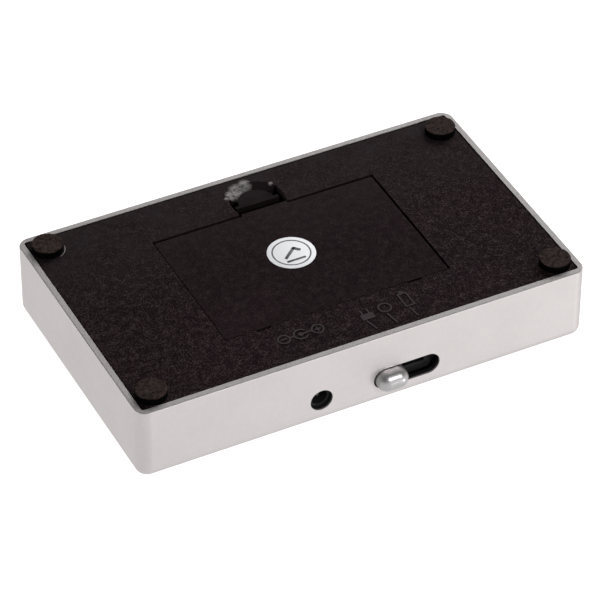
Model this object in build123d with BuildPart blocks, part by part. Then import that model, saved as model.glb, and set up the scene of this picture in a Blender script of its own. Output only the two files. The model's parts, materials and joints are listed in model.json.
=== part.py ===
"""Lighted display base: a flat box with a mirror top, run from three AA cells or a mains adapter.

It stands on four feet. +Z is up, +X to the right and +Y to the rear, where the socket and switch are.
The origin is on the surface it stands on, under the middle of the whole, switch knob included.
"""

import os
from math import hypot, radians, tan

from build123d import *

# case
length = 150.0
width = 90.0
shell_height = 25.7
corner_radius = 4.0
inner_corner_radius = 0.8
top_edge_radius = 3.2
rim_edge_radius = 0.5
wall = 2.0
skin = 2.4
foot_height = 2.6
plate_recess = 0.2

plate_z = foot_height
rim_z = foot_height - plate_recess
top_z = rim_z + shell_height
ceiling_z = top_z - skin
inner_x = length / 2 - wall
inner_y = width / 2 - wall
outer_y = width / 2

# bottom plate
plate_thickness = 2.0
plate_gap = 0.4
plate_top = plate_z + plate_thickness
screw_x, screw_y = 67.7, 37.4
plate_boss_height = 1.4
boss_z = plate_top + plate_boss_height

# battery compartment
cell_radius = 7.25
cell_length = 50.5
cell_nipple = 1.0
cell_pitch = 15.3
cell_clearance = 0.3
cell_z = plate_top + cell_clearance + cell_radius
well_length = 60.0
well_width = 46.6
well_wall = 1.5
well_inside_top = cell_z + cell_radius + 0.2
well_top = well_inside_top + 1.2
ledge_thickness = 1.5
ledge_reach = 1.5

# battery door: its gap to the plate is wide at the front and right, and thin elsewhere
door_left, door_right = -37.35, 37.55
door_front, door_rear = -25.1, 25.25
opening_left, opening_right = -37.6, 38.3
opening_front, opening_rear = -26.1, 25.45
tab_spots = (-25.0, 25.8)
tab_width = 4.4
tab_slot_width = 5.0
tab_reach = 28.0
tab_thickness = 1.3
tab_swing = 2.6

# snap latch on the front edge of the door
latch_x = 0.5
notch_half = 8.4
notch_front = -34.8
latch_half = 7.4
latch_leg = 1.3
latch_gap = 4.0
latch_root_y = -26.2
latch_bend_z = plate_z + 7.4
latch_split_gap = 0.12
thumb_z = plate_z + 1.0
thumb_thickness = 1.4
thumb_radius = 5.9
scoop_y = -31.0
scoop_radius = 8.9
scoop_depth = 4.2
scoop_skin = 1.2
pocket_half = 8.8
pocket_front = -36.0
pocket_wall = 1.2
pocket_top = plate_z + 12.0

# rear wall: slide switch and socket
slot_x, slot_z = 13.3, rim_z + 16.7
slot_length, slot_height = 22.3, 7.4
socket_x, socket_z = -15.4, rim_z + 17.1
socket_hole_radius = 3.7
knob_width, knob_height = 10.2, 6.9
knob_stand = 4.4
knob_round = 3.2
knob_end_gap = 0.45
knob_x = slot_x - slot_length / 2 + knob_end_gap + knob_width / 2
knob_travel = 2 * (slot_x - knob_x)

# lights
mirror_length, mirror_width, mirror_thickness = 130.0, 70.0, 1.0
mirror_corner = 2.5
mirror_gap = 0.1
led_hole_radius = 2.6
led_radius = 2.4
led_spots = [(-32, 0), (0, 0), (32, 0), (-16, 14), (16, 14), (-16, -14), (16, -14)]
board_length, board_width, board_thickness = 90.0, 44.0, 1.6
board_z = well_top + 0.8
board_top = board_z + board_thickness
board_screw_x, board_screw_y = 41.0, 17.0
lead_diameter = 1.3
lead_z = plate_z + 15.6

os.makedirs("parts", exist_ok=True)
ON_BASE = (Align.CENTER, Align.CENTER, Align.MIN)


def save(piece, name):
    """Write one piece. It is drawn about the middle of the box; the knob puts the middle of the whole further back."""
    placed = Pos(0, -knob_stand / 2, 0) * piece
    placed.label = name
    export_step(placed, f"parts/{name}.step")


def block(x, y, z, mode=Mode.ADD):
    """A box between two values along each axis, in the part being built."""
    with Locations(((x[0] + x[1]) / 2, (y[0] + y[1]) / 2, (z[0] + z[1]) / 2)):
        Box(x[1] - x[0], y[1] - y[0], z[1] - z[0], mode=mode)


# ---- top shell ----
rear_face = Plane(origin=(0, outer_y, 0), x_dir=(-1, 0, 0), z_dir=(0, 1, 0))
shell_rib = 1.2
rib_depth = 1.6
boss_radius = 3.5
case_pilot_radius = 1.35
case_pilot_depth = 11.0
standoff_radius = 2.5
switch_post_y = inner_y - 2.0
switch_screw_x = (slot_x - 15.5, slot_x + 15.5)
switch_post_radius = 2.2
small_pilot_radius = 0.95
socket_half = 4.5
socket_rear_y = 30.5
socket_low_z = socket_z - 5.0
case_screws_at = [(x, y) for x in (-screw_x, screw_x) for y in (-screw_y, screw_y)]
board_screws_at = [(x, y) for x in (-board_screw_x, board_screw_x) for y in (-board_screw_y, board_screw_y)]

with BuildPart() as top_shell:
    with BuildSketch(Plane.XY.offset(rim_z)):
        RectangleRounded(length, width, corner_radius)
    extrude(amount=shell_height)
    fillet(top_shell.faces().sort_by(Axis.Z)[-1].edges(), top_edge_radius)
    fillet(top_shell.faces().sort_by(Axis.Z)[0].edges(), rim_edge_radius)
    with BuildSketch(Plane.XY.offset(rim_z)):
        RectangleRounded(2 * inner_x, 2 * inner_y, inner_corner_radius)
    extrude(amount=shell_height - skin, mode=Mode.SUBTRACT)
    # screw bosses with webs to the walls
    for x, y in case_screws_at:
        with Locations((x, y, boss_z)):
            Cylinder(boss_radius, ceiling_z - boss_z, align=ON_BASE)
        out_x, out_y = (inner_x if x > 0 else -inner_x), (inner_y if y > 0 else -inner_y)
        block(sorted((x, out_x)), (y - shell_rib / 2, y + shell_rib / 2), (boss_z + 3, ceiling_z))
        block((x - shell_rib / 2, x + shell_rib / 2), sorted((y, out_y)), (boss_z + 3, ceiling_z))
    # ribs that the plate rests against
    for x in (-45, -20, 20, 45):
        block((x - shell_rib / 2, x + shell_rib / 2), (-inner_y, -inner_y + rib_depth), (plate_top, ceiling_z))
    for x in (-45, 45):
        block((x - shell_rib / 2, x + shell_rib / 2), (inner_y - rib_depth, inner_y), (plate_top, ceiling_z))
    for y in (-20, 20):
        for side in (-1, 1):
            reach = sorted((side * inner_x, side * (inner_x - rib_depth)))
            block(reach, (y - shell_rib / 2, y + shell_rib / 2), (plate_top, ceiling_z))
    # standoffs for the light board
    for x, y in board_screws_at:
        with Locations((x, y, board_top)):
            Cylinder(standoff_radius, ceiling_z - board_top, align=ON_BASE)
    # posts for the switch and a cradle for the socket
    for x in switch_screw_x:
        with BuildSketch(Plane(origin=(x, switch_post_y, slot_z), x_dir=(1, 0, 0), z_dir=(0, 1, 0))):
            Circle(switch_post_radius)
        extrude(amount=inner_y - switch_post_y)
    for side in (-1, 1):
        near = socket_x + side * (socket_half + 0.1)
        block(sorted((near, near + side * shell_rib)), (34.5, inner_y), (socket_low_z, ceiling_z))
    block((socket_x - 3, socket_x + 3), (socket_rear_y - 1.3, socket_rear_y - 0.1), (socket_z + 3, ceiling_z))
    # pilots
    for x, y in case_screws_at:
        with Locations((x, y, boss_z)):
            Cylinder(case_pilot_radius, case_pilot_depth, align=ON_BASE, mode=Mode.SUBTRACT)
    for x, y in board_screws_at:
        with Locations((x, y, board_top)):
            Cylinder(small_pilot_radius, 3.4, align=ON_BASE, mode=Mode.SUBTRACT)
    for x in switch_screw_x:
        with BuildSketch(Plane(origin=(x, switch_post_y, slot_z), x_dir=(1, 0, 0), z_dir=(0, 1, 0))):
            Circle(small_pilot_radius)
        extrude(amount=3.0, mode=Mode.SUBTRACT)
    # recess for the mirror, and the holes for the lights
    with BuildSketch(Plane.XY.offset(top_z - mirror_thickness)):
        RectangleRounded(mirror_length + 2 * mirror_gap, mirror_width + 2 * mirror_gap, mirror_corner)
    extrude(amount=mirror_thickness, mode=Mode.SUBTRACT)
    with BuildSketch(Plane.XY.offset(ceiling_z)):
        with Locations(*led_spots):
            Circle(led_hole_radius)
    extrude(amount=skin, mode=Mode.SUBTRACT)
    # openings in the rear wall
    with BuildSketch(rear_face):
        with Locations((-slot_x, slot_z)):
            SlotOverall(slot_length, slot_height)
        with Locations((-socket_x, socket_z)):
            Circle(socket_hole_radius)
    extrude(amount=-wall, mode=Mode.SUBTRACT)
save(top_shell.part, "top_shell")

# ---- bottom plate ----
screw_head_radius = 2.5
mark_height = 0.25
mark_stroke = 0.55
minus_x, plus_x, polarity_y = -22.0, -10.8, 33.0
sign_radius, ring_radius = 2.1, 2.4
plug_x, off_x, battery_mark_x = 5.2, 11.6, 19.1
clamp_half = 2.0
contact_tab_half = 1.5
bump_reach = 2.0
contact_thickness = 0.5
spring_length = well_length - 2 * contact_thickness - cell_length - bump_reach

with BuildPart() as bottom_plate:
    with BuildSketch(Plane.XY.offset(plate_z)):
        RectangleRounded(2 * (inner_x - plate_gap), 2 * (inner_y - plate_gap), inner_corner_radius - plate_gap)
    extrude(amount=plate_thickness)
    # ledge under the door, walls and roof of the compartment
    block(
        (opening_left - ledge_reach, opening_right + ledge_reach),
        (opening_front - ledge_reach, opening_rear + ledge_reach),
        (plate_top, plate_top + ledge_thickness),
    )
    half_x, half_y = well_length / 2, well_width / 2
    block((-half_x - well_wall, half_x + well_wall), (-half_y - well_wall, half_y + well_wall), (plate_top, well_top))
    # pocket of the latch and the thick floor under the finger scoop
    block(
        (latch_x - pocket_half - pocket_wall, latch_x + pocket_half + pocket_wall),
        (pocket_front - pocket_wall, -half_y - well_wall),
        (plate_top, pocket_top + pocket_wall),
    )
    scoop_floor = (plate_top, plate_z + scoop_depth + scoop_skin)
    scoop_half = scoop_radius + 1.5
    block((latch_x - scoop_half, latch_x + scoop_half), (scoop_y - scoop_half, notch_front), scoop_floor)
    # bosses for the case screws, and the post that holds the socket up
    for x, y in case_screws_at:
        with Locations((x, y, plate_top)):
            Cylinder(boss_radius, plate_boss_height, align=ON_BASE)
    block((socket_x - clamp_half, socket_x + clamp_half), (34, 38), (plate_top, socket_low_z))
    # openings
    block((opening_left, opening_right), (opening_front, opening_rear), (plate_z, plate_top), Mode.SUBTRACT)
    block((-half_x, half_x), (-half_y, half_y), (plate_z, well_inside_top), Mode.SUBTRACT)
    notch = (latch_x - notch_half, latch_x + notch_half)
    pocket = (latch_x - pocket_half, latch_x + pocket_half)
    block(notch, (notch_front, opening_front), (plate_z, plate_top), Mode.SUBTRACT)
    block(pocket, (pocket_front, -half_y - well_wall), (plate_top, pocket_top), Mode.SUBTRACT)
    # the lip in front of the pocket stays, down to the scoop
    block(pocket, (pocket_front, notch_front), scoop_floor)
    for x in tab_spots:
        slot = (x - tab_slot_width / 2, x + tab_slot_width / 2)
        block(slot, (half_y, tab_reach + 0.4), (plate_top, plate_top + tab_swing), Mode.SUBTRACT)
        block(slot, (opening_rear, opening_rear + 0.7), (plate_z, plate_top), Mode.SUBTRACT)
    # finger scoop: a shallow ball-shaped dish
    ball = (scoop_radius**2 + scoop_depth**2) / (2 * scoop_depth)
    with Locations((latch_x, scoop_y, plate_z + scoop_depth - ball)):
        Sphere(ball, mode=Mode.SUBTRACT)
    # screw holes
    for x, y in case_screws_at:
        with Locations((x, y, plate_z)):
            Cylinder(screw_head_radius + 0.2, plate_thickness, align=ON_BASE, mode=Mode.SUBTRACT)
            Cylinder(case_pilot_radius + 0.1, boss_z - plate_z, align=ON_BASE, mode=Mode.SUBTRACT)
    # slits for the two solder tabs of the battery contacts
    for side in (-1, 1):
        reach = sorted((side * half_x, side * (half_x + well_wall)))
        tab_y = side * cell_pitch
        tab_range = (tab_y - contact_tab_half - 0.1, tab_y + contact_tab_half + 0.1)
        block(reach, tab_range, (lead_z - 0.35, lead_z + 0.35), Mode.SUBTRACT)
    # raised marks: polarity, plug, off, battery, and the leaders to the switch
    with BuildSketch(Plane.XY.offset(plate_z)):
        for x in (minus_x, plus_x):
            with Locations((x, polarity_y)):
                Circle(sign_radius)
                Circle(sign_radius - mark_stroke, mode=Mode.SUBTRACT)
                Rectangle(sign_radius, mark_stroke)
        with Locations((plus_x, polarity_y)):
            Rectangle(mark_stroke, sign_radius)
        socket_mark_x = (minus_x + plus_x) / 2
        with Locations((socket_mark_x, polarity_y)):
            Circle(ring_radius)
            Circle(ring_radius - mark_stroke, mode=Mode.SUBTRACT)
        with Locations((socket_mark_x + ring_radius, polarity_y)):
            Rectangle(ring_radius - 0.4, ring_radius, mode=Mode.SUBTRACT)
        with Locations((socket_mark_x, polarity_y)):
            Circle(0.8)
        # links: ring to minus, and centre to plus
        for start, end in (
            (minus_x + sign_radius - 0.1, socket_mark_x - ring_radius + 0.1),
            (socket_mark_x, plus_x - sign_radius + 0.1),
        ):
            with Locations(((start + end) / 2, polarity_y)):
                Rectangle(end - start, mark_stroke)
        # plug
        with Locations((plug_x, 34.6)):
            Rectangle(4.2, 2.6)
        with Locations((plug_x - 1.1, 32.4), (plug_x + 1.1, 32.4)):
            Rectangle(mark_stroke, 2.2)
        # off
        with Locations((off_x, 33.2)):
            Circle(2.2)
            Circle(2.2 - mark_stroke, mode=Mode.SUBTRACT)
        # battery
        with Locations((battery_mark_x, 32.7)):
            Rectangle(3.3, 6.4)
            Rectangle(3.3 - 2 * mark_stroke, 6.4 - 2 * mark_stroke, mode=Mode.SUBTRACT)
        with Locations((battery_mark_x, 29.1)):
            Rectangle(1.4, 1.2)
        for start, end in (
            ((plug_x, 36.3), (plug_x - 1.3, 40.9)),
            ((off_x + 0.3, 35.9), (off_x - 0.6, 40.9)),
            ((battery_mark_x - 0.2, 36.5), (battery_mark_x - 0.7, 40.9)),
        ):
            run = hypot(end[0] - start[0], end[1] - start[1])
            middle = ((start[0] + end[0]) / 2, (start[1] + end[1]) / 2)
            lean = Vector(end[0] - start[0], end[1] - start[1]).get_signed_angle(Vector(0, 1))
            with Locations(Location(middle, -lean)):
                Rectangle(mark_stroke, run)
    extrude(amount=-mark_height)
save(bottom_plate.part, "bottom_plate")

# ---- battery door and its latch ----
latch_mid_y = latch_root_y - latch_gap / 2
bend_outer = latch_gap / 2 + latch_leg
latch_span = (latch_x - latch_half, latch_x + latch_half)

with BuildPart() as battery_door:
    block((door_left, door_right), (door_front, door_rear), (plate_z, plate_top))
    corners = battery_door.edges().filter_by(Axis.Z)
    fillet(corners, 0.6)
    for x in tab_spots:
        tab = (x - tab_width / 2, x + tab_width / 2)
        block(tab, (half_y + well_wall + 0.15, tab_reach), (plate_top, plate_top + tab_thickness))
    # the part of the outer skin that fills the notch, and the fixed leg of the latch
    filler_half = notch_half - 0.6
    block((latch_x - filler_half, latch_x + filler_half), (latch_root_y, door_front), (plate_z, plate_top))
    block(latch_span, (latch_root_y, latch_root_y + latch_leg), (plate_top, latch_bend_z))
    with BuildSketch(Plane.YZ.offset(latch_span[0])):
        with Locations((latch_mid_y, latch_bend_z)):
            Circle(bend_outer)
            Circle(latch_gap / 2, mode=Mode.SUBTRACT)
        with Locations((latch_mid_y, latch_bend_z - bend_outer)):
            Rectangle(4 * bend_outer, 2 * bend_outer, mode=Mode.SUBTRACT)
        with Locations((latch_mid_y - 2 * bend_outer + latch_split_gap / 2, latch_bend_z)):
            Rectangle(4 * bend_outer, 4 * bend_outer, mode=Mode.SUBTRACT)
    extrude(amount=2 * latch_half)
save(battery_door.part, "battery_door")

free_leg_y = latch_root_y - latch_gap
nose_reach = -34.3
nose_inset = 1.5
with BuildPart() as latch_tongue:
    with BuildSketch(Plane.YZ.offset(latch_span[0])):
        with Locations((latch_mid_y, latch_bend_z)):
            Circle(bend_outer)
            Circle(latch_gap / 2, mode=Mode.SUBTRACT)
        with Locations((latch_mid_y, latch_bend_z - bend_outer)):
            Rectangle(4 * bend_outer, 2 * bend_outer, mode=Mode.SUBTRACT)
        with Locations((latch_mid_y + 2 * bend_outer - latch_split_gap / 2, latch_bend_z)):
            Rectangle(4 * bend_outer, 4 * bend_outer, mode=Mode.SUBTRACT)
    extrude(amount=2 * latch_half)
    block(latch_span, (free_leg_y - latch_leg, free_leg_y), (thumb_z, latch_bend_z))
    # catch nose, sloped so that the door snaps shut
    nose_low = plate_z + scoop_depth + scoop_skin + 0.2
    with BuildSketch(Plane.YZ.offset(latch_span[0] + nose_inset)):
        with BuildLine():
            Polyline(
                (free_leg_y - latch_leg, nose_low),
                (nose_reach, nose_low),
                (nose_reach, nose_low + 0.7),
                (free_leg_y - latch_leg, latch_bend_z),
                close=True,
            )
        make_face()
    extrude(amount=2 * (latch_half - nose_inset))
    # thumb piece, round at the front
    with BuildSketch(Plane.XY.offset(thumb_z)):
        with Locations((latch_x, scoop_y)):
            Circle(thumb_radius)
        with Locations((latch_x, free_leg_y + thumb_radius)):
            Rectangle(4 * thumb_radius, 2 * thumb_radius, mode=Mode.SUBTRACT)
    extrude(amount=thumb_thickness)
save(latch_tongue.part, "latch_tongue")

# ---- sticker and feet ----
sticker_radius = 7.55
sticker_x, sticker_y = -1.7, -2.6
sticker_thickness = 0.1
with BuildPart() as inspection_sticker:
    with BuildSketch(Plane.XY.offset(plate_z - sticker_thickness)):
        with Locations((sticker_x, sticker_y)):
            Circle(sticker_radius)
    extrude(amount=sticker_thickness)
save(inspection_sticker.part, "inspection_sticker")

# the feet are glued on over the case screws by hand, so they are a little off them
foot_radius = 4.9
foot_edge = 0.5
foot_spots = {
    "front_left": (-67.6, -37.2),
    "front_right": (67.7, -35.9),
    "rear_left": (-67.6, 37.7),
    "rear_right": (67.6, 37.7),
}
for place, (x, y) in foot_spots.items():
    with BuildPart() as foot:
        with Locations((x, y, 0)):
            Cylinder(foot_radius, foot_height, align=ON_BASE)
        fillet(foot.edges().sort_by(Axis.Z)[0], foot_edge)
    save(foot.part, f"foot_{place}")

# ---- screws ----


def screw(at, direction, head_radius, head_height, shank_radius, shank_length):
    """A pan-head screw with a cross recess: its seat is at `at`, its shank runs along `direction`."""
    seat = Plane(origin=at, z_dir=direction)
    with BuildPart(seat) as one:
        Cylinder(shank_radius, shank_length, align=ON_BASE)
        Cylinder(head_radius, head_height, align=(Align.CENTER, Align.CENTER, Align.MAX))
        top_edge = one.faces().sort_by(Axis(at, direction))[0].edges()
        fillet(top_edge, head_height * 0.4)
        recess = (Align.CENTER, Align.CENTER, Align.MIN)
        with Locations((0, 0, -head_height)):
            Box(head_radius, head_radius * 0.22, head_height * 0.5, align=recess, mode=Mode.SUBTRACT)
            Box(head_radius * 0.22, head_radius, head_height * 0.5, align=recess, mode=Mode.SUBTRACT)
    return one.part


UP = (0, 0, 1)
REARWARD = (0, 1, 0)
case_screws = [screw((x, y, plate_top), UP, screw_head_radius, 1.7, 1.25, 11.0) for x, y in case_screws_at]
save(Compound(children=case_screws), "case_screws")
board_screws = [screw((x, y, board_z), UP, 1.8, 1.1, 0.9, 4.6) for x, y in board_screws_at]
save(Compound(children=board_screws), "board_screws")

# ---- mirror, light board and lights ----
with BuildPart() as mirror_plate:
    with BuildSketch(Plane.XY.offset(top_z - mirror_thickness)):
        RectangleRounded(mirror_length, mirror_width, mirror_corner - mirror_gap)
        with Locations(*led_spots):
            Circle(led_hole_radius, mode=Mode.SUBTRACT)
    extrude(amount=mirror_thickness)
save(mirror_plate.part, "mirror_plate")

led_pin_pitch = 2.54
with BuildPart() as led_board:
    with BuildSketch(Plane.XY.offset(board_z)):
        Rectangle(board_length, board_width)
        with Locations(*board_screws_at):
            Circle(1.1, mode=Mode.SUBTRACT)
        for x, y in led_spots:
            with Locations((x - led_pin_pitch / 2, y), (x + led_pin_pitch / 2, y)):
                Circle(0.45, mode=Mode.SUBTRACT)
    extrude(amount=board_thickness)
save(led_board.part, "led_board")

led_height = top_z - 0.1 - board_top
led_dome = 1.5
lights = []
for x, y in led_spots:
    with BuildPart(Plane.XY.offset(board_top)) as led:
        with Locations((x, y, 0)):
            Cylinder(led_radius + 0.35, 0.8, align=ON_BASE)
            Cylinder(led_radius, led_height, align=ON_BASE)
        fillet(led.edges().sort_by(Axis.Z)[-1], led_dome)
        with Locations((x - led_pin_pitch / 2, y, 0), (x + led_pin_pitch / 2, y, 0)):
            Cylinder(0.3, board_thickness + 0.5, align=(Align.CENTER, Align.CENTER, Align.MAX))
    lights.append(led.part)
save(Compound(children=lights), "leds")

resistors = []
for x, y in led_spots:
    with BuildPart(Plane.XY.offset(board_top)) as resistor:
        with Locations((x + 5.2, y, 0)):
            Box(1.6, 3.2, 0.6, align=ON_BASE)
        chamfer(resistor.faces().sort_by(Axis.Z)[-1].edges(), 0.1)
    resistors.append(resistor.part)
save(Compound(children=resistors), "led_resistors")

# ---- slide switch ----
frame_thickness = 0.5
frame_y = switch_post_y - frame_thickness
frame_half_z = 4.6
base_half_x, base_half_z = 13.0, 4.2
base_y = 34.0
channel_y = base_y + 1.2
stem_width, stem_height = 4.0, 3.0
slider_length, slider_height = 9.6, 5.4
channel_half = knob_travel / 2 + slider_length / 2 + 0.2
stem_end = outer_y + 1.0
terminal_x = [slot_x + step for step in (-7.5, -2.5, 2.5, 7.5)]

with BuildPart() as switch_frame:
    with BuildSketch(Plane(origin=(slot_x, frame_y, slot_z), x_dir=(1, 0, 0), z_dir=(0, 1, 0))):
        Rectangle(36.5, 2 * frame_half_z)
        Rectangle(knob_travel + stem_width + 0.6, stem_height + 0.4, mode=Mode.SUBTRACT)
        with Locations((-15.5, 0), (15.5, 0)):
            Circle(1.1, mode=Mode.SUBTRACT)
    extrude(amount=frame_thickness)
    # side straps, folded back over the base
    for side in (-1, 1):
        z = sorted((slot_z + side * base_half_z, slot_z + side * (base_half_z + 0.4)))
        for x in (slot_x - 9, slot_x + 9):
            block((x - 2, x + 2), (base_y, frame_y), z)
save(switch_frame.part, "switch_frame")

with BuildPart() as switch_base:
    block((slot_x - base_half_x, slot_x + base_half_x), (base_y, frame_y), (slot_z - base_half_z, slot_z + base_half_z))
    channel = (slot_x - channel_half, slot_x + channel_half)
    half = slider_height / 2 + 0.1
    block(channel, (channel_y, frame_y), (slot_z - half, slot_z + half), Mode.SUBTRACT)
    for x in terminal_x:
        block((x - 0.7, x + 0.7), (base_y, channel_y), (lead_z - 0.25, lead_z + 0.25), Mode.SUBTRACT)
save(switch_base.part, "switch_base")

terminals = []
for x in terminal_x:
    with BuildPart() as terminal:
        block((x - 0.7, x + 0.7), (31.0, channel_y), (lead_z - 0.25, lead_z + 0.25))
        block((x - 1.6, x + 1.6), (channel_y, channel_y + 0.3), (lead_z - 1.2, lead_z + 1.2))
    terminals.append(terminal.part)
save(Compound(children=terminals), "switch_terminals")

slider_y = channel_y + 1.5
with BuildPart() as switch_slider:
    block(
        (knob_x - slider_length / 2, knob_x + slider_length / 2),
        (slider_y, frame_y - 0.1),
        (slot_z - slider_height / 2, slot_z + slider_height / 2),
    )
    block(
        (knob_x - stem_width / 2, knob_x + stem_width / 2),
        (frame_y - 0.1, stem_end),
        (slot_z - stem_height / 2, slot_z + stem_height / 2),
    )
save(switch_slider.part, "switch_slider")

with BuildPart() as slide_contact:
    block((knob_x - 3.6, knob_x + 3.6), (slider_y - 0.3, slider_y), (slot_z - 2.2, slot_z + 1.2))
    for side in (-1, 1):
        spot = knob_x + side * 2.5
        block((spot - 0.8, spot + 0.8), (channel_y + 0.35, slider_y - 0.3), (lead_z - 0.7, lead_z + 0.7))
save(slide_contact.part, "slide_contact")

knob_back = inner_y - 1.4
with BuildPart() as slide_knob:
    with BuildSketch(Plane(origin=(knob_x, knob_back, slot_z), x_dir=(1, 0, 0), z_dir=(0, 1, 0))):
        SlotOverall(knob_width, knob_height)
    extrude(amount=outer_y + knob_stand - knob_back)
    fillet(slide_knob.faces().sort_by(Axis.Y)[-1].edges(), knob_round)
    block(
        (knob_x - stem_width / 2, knob_x + stem_width / 2),
        (knob_back, stem_end),
        (slot_z - stem_height / 2, slot_z + stem_height / 2),
        Mode.SUBTRACT,
    )
save(slide_knob.part, "slide_knob")

switch_screws = [screw((x, frame_y, slot_z), REARWARD, 1.8, 1.1, 0.9, 3.3) for x in switch_screw_x]
save(Compound(children=switch_screws), "switch_screws")

# ---- socket for the adapter ----
barrel_radius = 2.8
barrel_depth = 9.5
pin_radius = 0.65
socket_front = Plane(origin=(socket_x, inner_y, socket_z), x_dir=(1, 0, 0), z_dir=(0, -1, 0))
socket_tab_y = 32.7
tab_y_range = (socket_tab_y - 0.8, socket_tab_y + 0.8)
spring_z = socket_z - 3.2
spring_half = 0.75


def tab_z_range(z):
    return (z - 0.25, z + 0.25)


with BuildPart() as socket_body:
    block(
        (socket_x - socket_half, socket_x + socket_half),
        (socket_rear_y, inner_y),
        (socket_low_z, socket_z + 5.0),
    )
    back_edges = socket_body.faces().sort_by(Axis.Y)[0].edges()
    chamfer(back_edges, 0.4)
    with BuildSketch(socket_front):
        Circle(barrel_radius)
    extrude(amount=barrel_depth, mode=Mode.SUBTRACT)
    with BuildSketch(socket_front):
        Circle(pin_radius)
    extrude(amount=inner_y - socket_rear_y - 0.8, mode=Mode.SUBTRACT)
    block((socket_x, socket_x + socket_half), tab_y_range, tab_z_range(socket_z), Mode.SUBTRACT)
    # room for the sleeve spring, which bears on the side of the plug
    block((socket_x - socket_half, socket_x + 0.8), tab_y_range, tab_z_range(spring_z), Mode.SUBTRACT)
    spring_groove = (socket_x - spring_half - 0.05, socket_x + spring_half + 0.05)
    block(spring_groove, (tab_y_range[0], 40.0), (spring_z - 0.25, socket_z - 2.0), Mode.SUBTRACT)
save(socket_body.part, "socket_body")

with BuildPart() as socket_pin:
    with BuildSketch(socket_front.offset(0.8)):
        Circle(pin_radius)
    extrude(amount=inner_y - socket_rear_y - 1.6)
    fillet(socket_pin.edges().sort_by(Axis.Y)[-1], 0.4)
    block((socket_x, socket_x + socket_half + 2.0), tab_y_range, tab_z_range(socket_z))
save(socket_pin.part, "socket_pin")

with BuildPart() as socket_spring:
    block((socket_x - socket_half - 2.0, socket_x + spring_half), tab_y_range, tab_z_range(spring_z))
    strip = (socket_x - spring_half, socket_x + spring_half)
    block(strip, (tab_y_range[0], 39.95), (spring_z - 0.25, spring_z + 0.05))
    with BuildSketch(Plane.YZ.offset(socket_x - spring_half)):
        with BuildLine():
            Polyline(
                (34.6, spring_z),
                (36.6, spring_z + 0.8),
                (38.6, spring_z),
                close=True,
            )
        make_face()
    extrude(amount=2 * spring_half)
save(socket_spring.part, "socket_spring")

# ---- battery contacts and cells ----
end_x = well_length / 2
contact_low, contact_high = plate_top + 1.2, well_inside_top - 0.1
contact_half = 6.2
spring_wire = 0.45


def contact(side, bumps=(), springs=(), tab=None):
    """A contact plate on the end wall at `side`, with pressed bumps and coil springs at the given rows."""
    face = side * (end_x - contact_thickness)
    rows = [*bumps, *springs]
    inward = (-side, 0, 0)
    with BuildPart() as plate:
        block(
            sorted((side * end_x, face)),
            (min(rows) - contact_half, max(rows) + contact_half),
            (contact_low, contact_high),
        )
        for y in bumps:
            with BuildSketch(Plane(origin=(face, y, cell_z), z_dir=inward)):
                Circle(3.2)
            extrude(amount=bump_reach, taper=20)
        if tab is not None:
            reach = sorted((side * end_x, side * (end_x + 4.0)))
            block(reach, (tab - contact_tab_half, tab + contact_tab_half), (lead_z - 0.25, lead_z + 0.25))
    pieces = [plate.part]
    for y in springs:
        foot_at = (face - side * (spring_wire + 0.02), y, cell_z)
        with BuildPart() as spring:
            with BuildLine() as path:
                Helix(
                    pitch=(spring_length - 2 * spring_wire - 0.04) / 4,
                    height=spring_length - 2 * spring_wire - 0.04,
                    radius=4.8,
                    center=foot_at,
                    direction=inward,
                    cone_angle=-12,
                )
            with BuildSketch(Plane(origin=path.line @ 0, z_dir=path.line % 0)):
                Circle(spring_wire)
            sweep(is_frenet=True)
        pieces.append(spring.part)
    return Compound(children=pieces)


save(contact(-1, springs=[-cell_pitch], tab=-cell_pitch), "negative_contact")
save(contact(-1, bumps=[0], springs=[cell_pitch]), "bridge_contact_left")
save(contact(1, bumps=[-cell_pitch], springs=[0]), "bridge_contact_right")
save(contact(1, bumps=[cell_pitch], tab=cell_pitch), "positive_contact")

for number, (y, way) in enumerate(((-cell_pitch, 1), (0, -1), (cell_pitch, 1)), start=1):
    flat_end = -way * (end_x - contact_thickness - spring_length)
    with BuildPart(Plane(origin=(flat_end, y, cell_z), z_dir=(way, 0, 0))) as cell:
        Cylinder(cell_radius, cell_length - cell_nipple, align=ON_BASE)
        fillet(cell.edges(), 0.7)
        with Locations((0, 0, cell_length - cell_nipple)):
            Cylinder(2.75, cell_nipple, align=ON_BASE)
    save(cell.part, f"battery_{number}")

# ---- leads: straight runs joined by tangent arcs ----
tab_out = end_x + 4.0
board_edge_z = board_z + board_thickness / 2
socket_tab_x = socket_half + 2.0
leads = {
    "battery_lead_red": [
        (tab_out, cell_pitch, lead_z),
        (40.5, cell_pitch, lead_z),
        (40.5, 26.8, lead_z),
        (terminal_x[3], 26.8, lead_z),
        (terminal_x[3], 31.0, lead_z),
    ],
    "battery_lead_black": [
        (-tab_out, -cell_pitch, lead_z),
        (-51.0, -cell_pitch, lead_z),
        (-51.0, -7.0, board_edge_z),
        (-board_length / 2, -7.0, board_edge_z),
    ],
    "socket_lead_red": [
        (socket_x + socket_tab_x, socket_tab_y, socket_z),
        (-3.2, socket_tab_y, socket_z),
        (0.6, 26.8, lead_z),
        (terminal_x[0], 26.8, lead_z),
        (terminal_x[0], 31.0, lead_z),
    ],
    "socket_lead_black": [
        (socket_x - socket_tab_x, socket_tab_y, spring_z),
        (-29.0, socket_tab_y, spring_z),
        (-30.5, 28.4, board_edge_z),
        (-30.5, board_width / 2, board_edge_z),
    ],
    "board_lead_red": [
        (terminal_x[1], 31.0, lead_z),
        (terminal_x[1], 28.0, lead_z),
        (terminal_x[1] - 1.5, 25.2, board_edge_z),
        (terminal_x[1] - 1.5, board_width / 2, board_edge_z),
    ],
}


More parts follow.
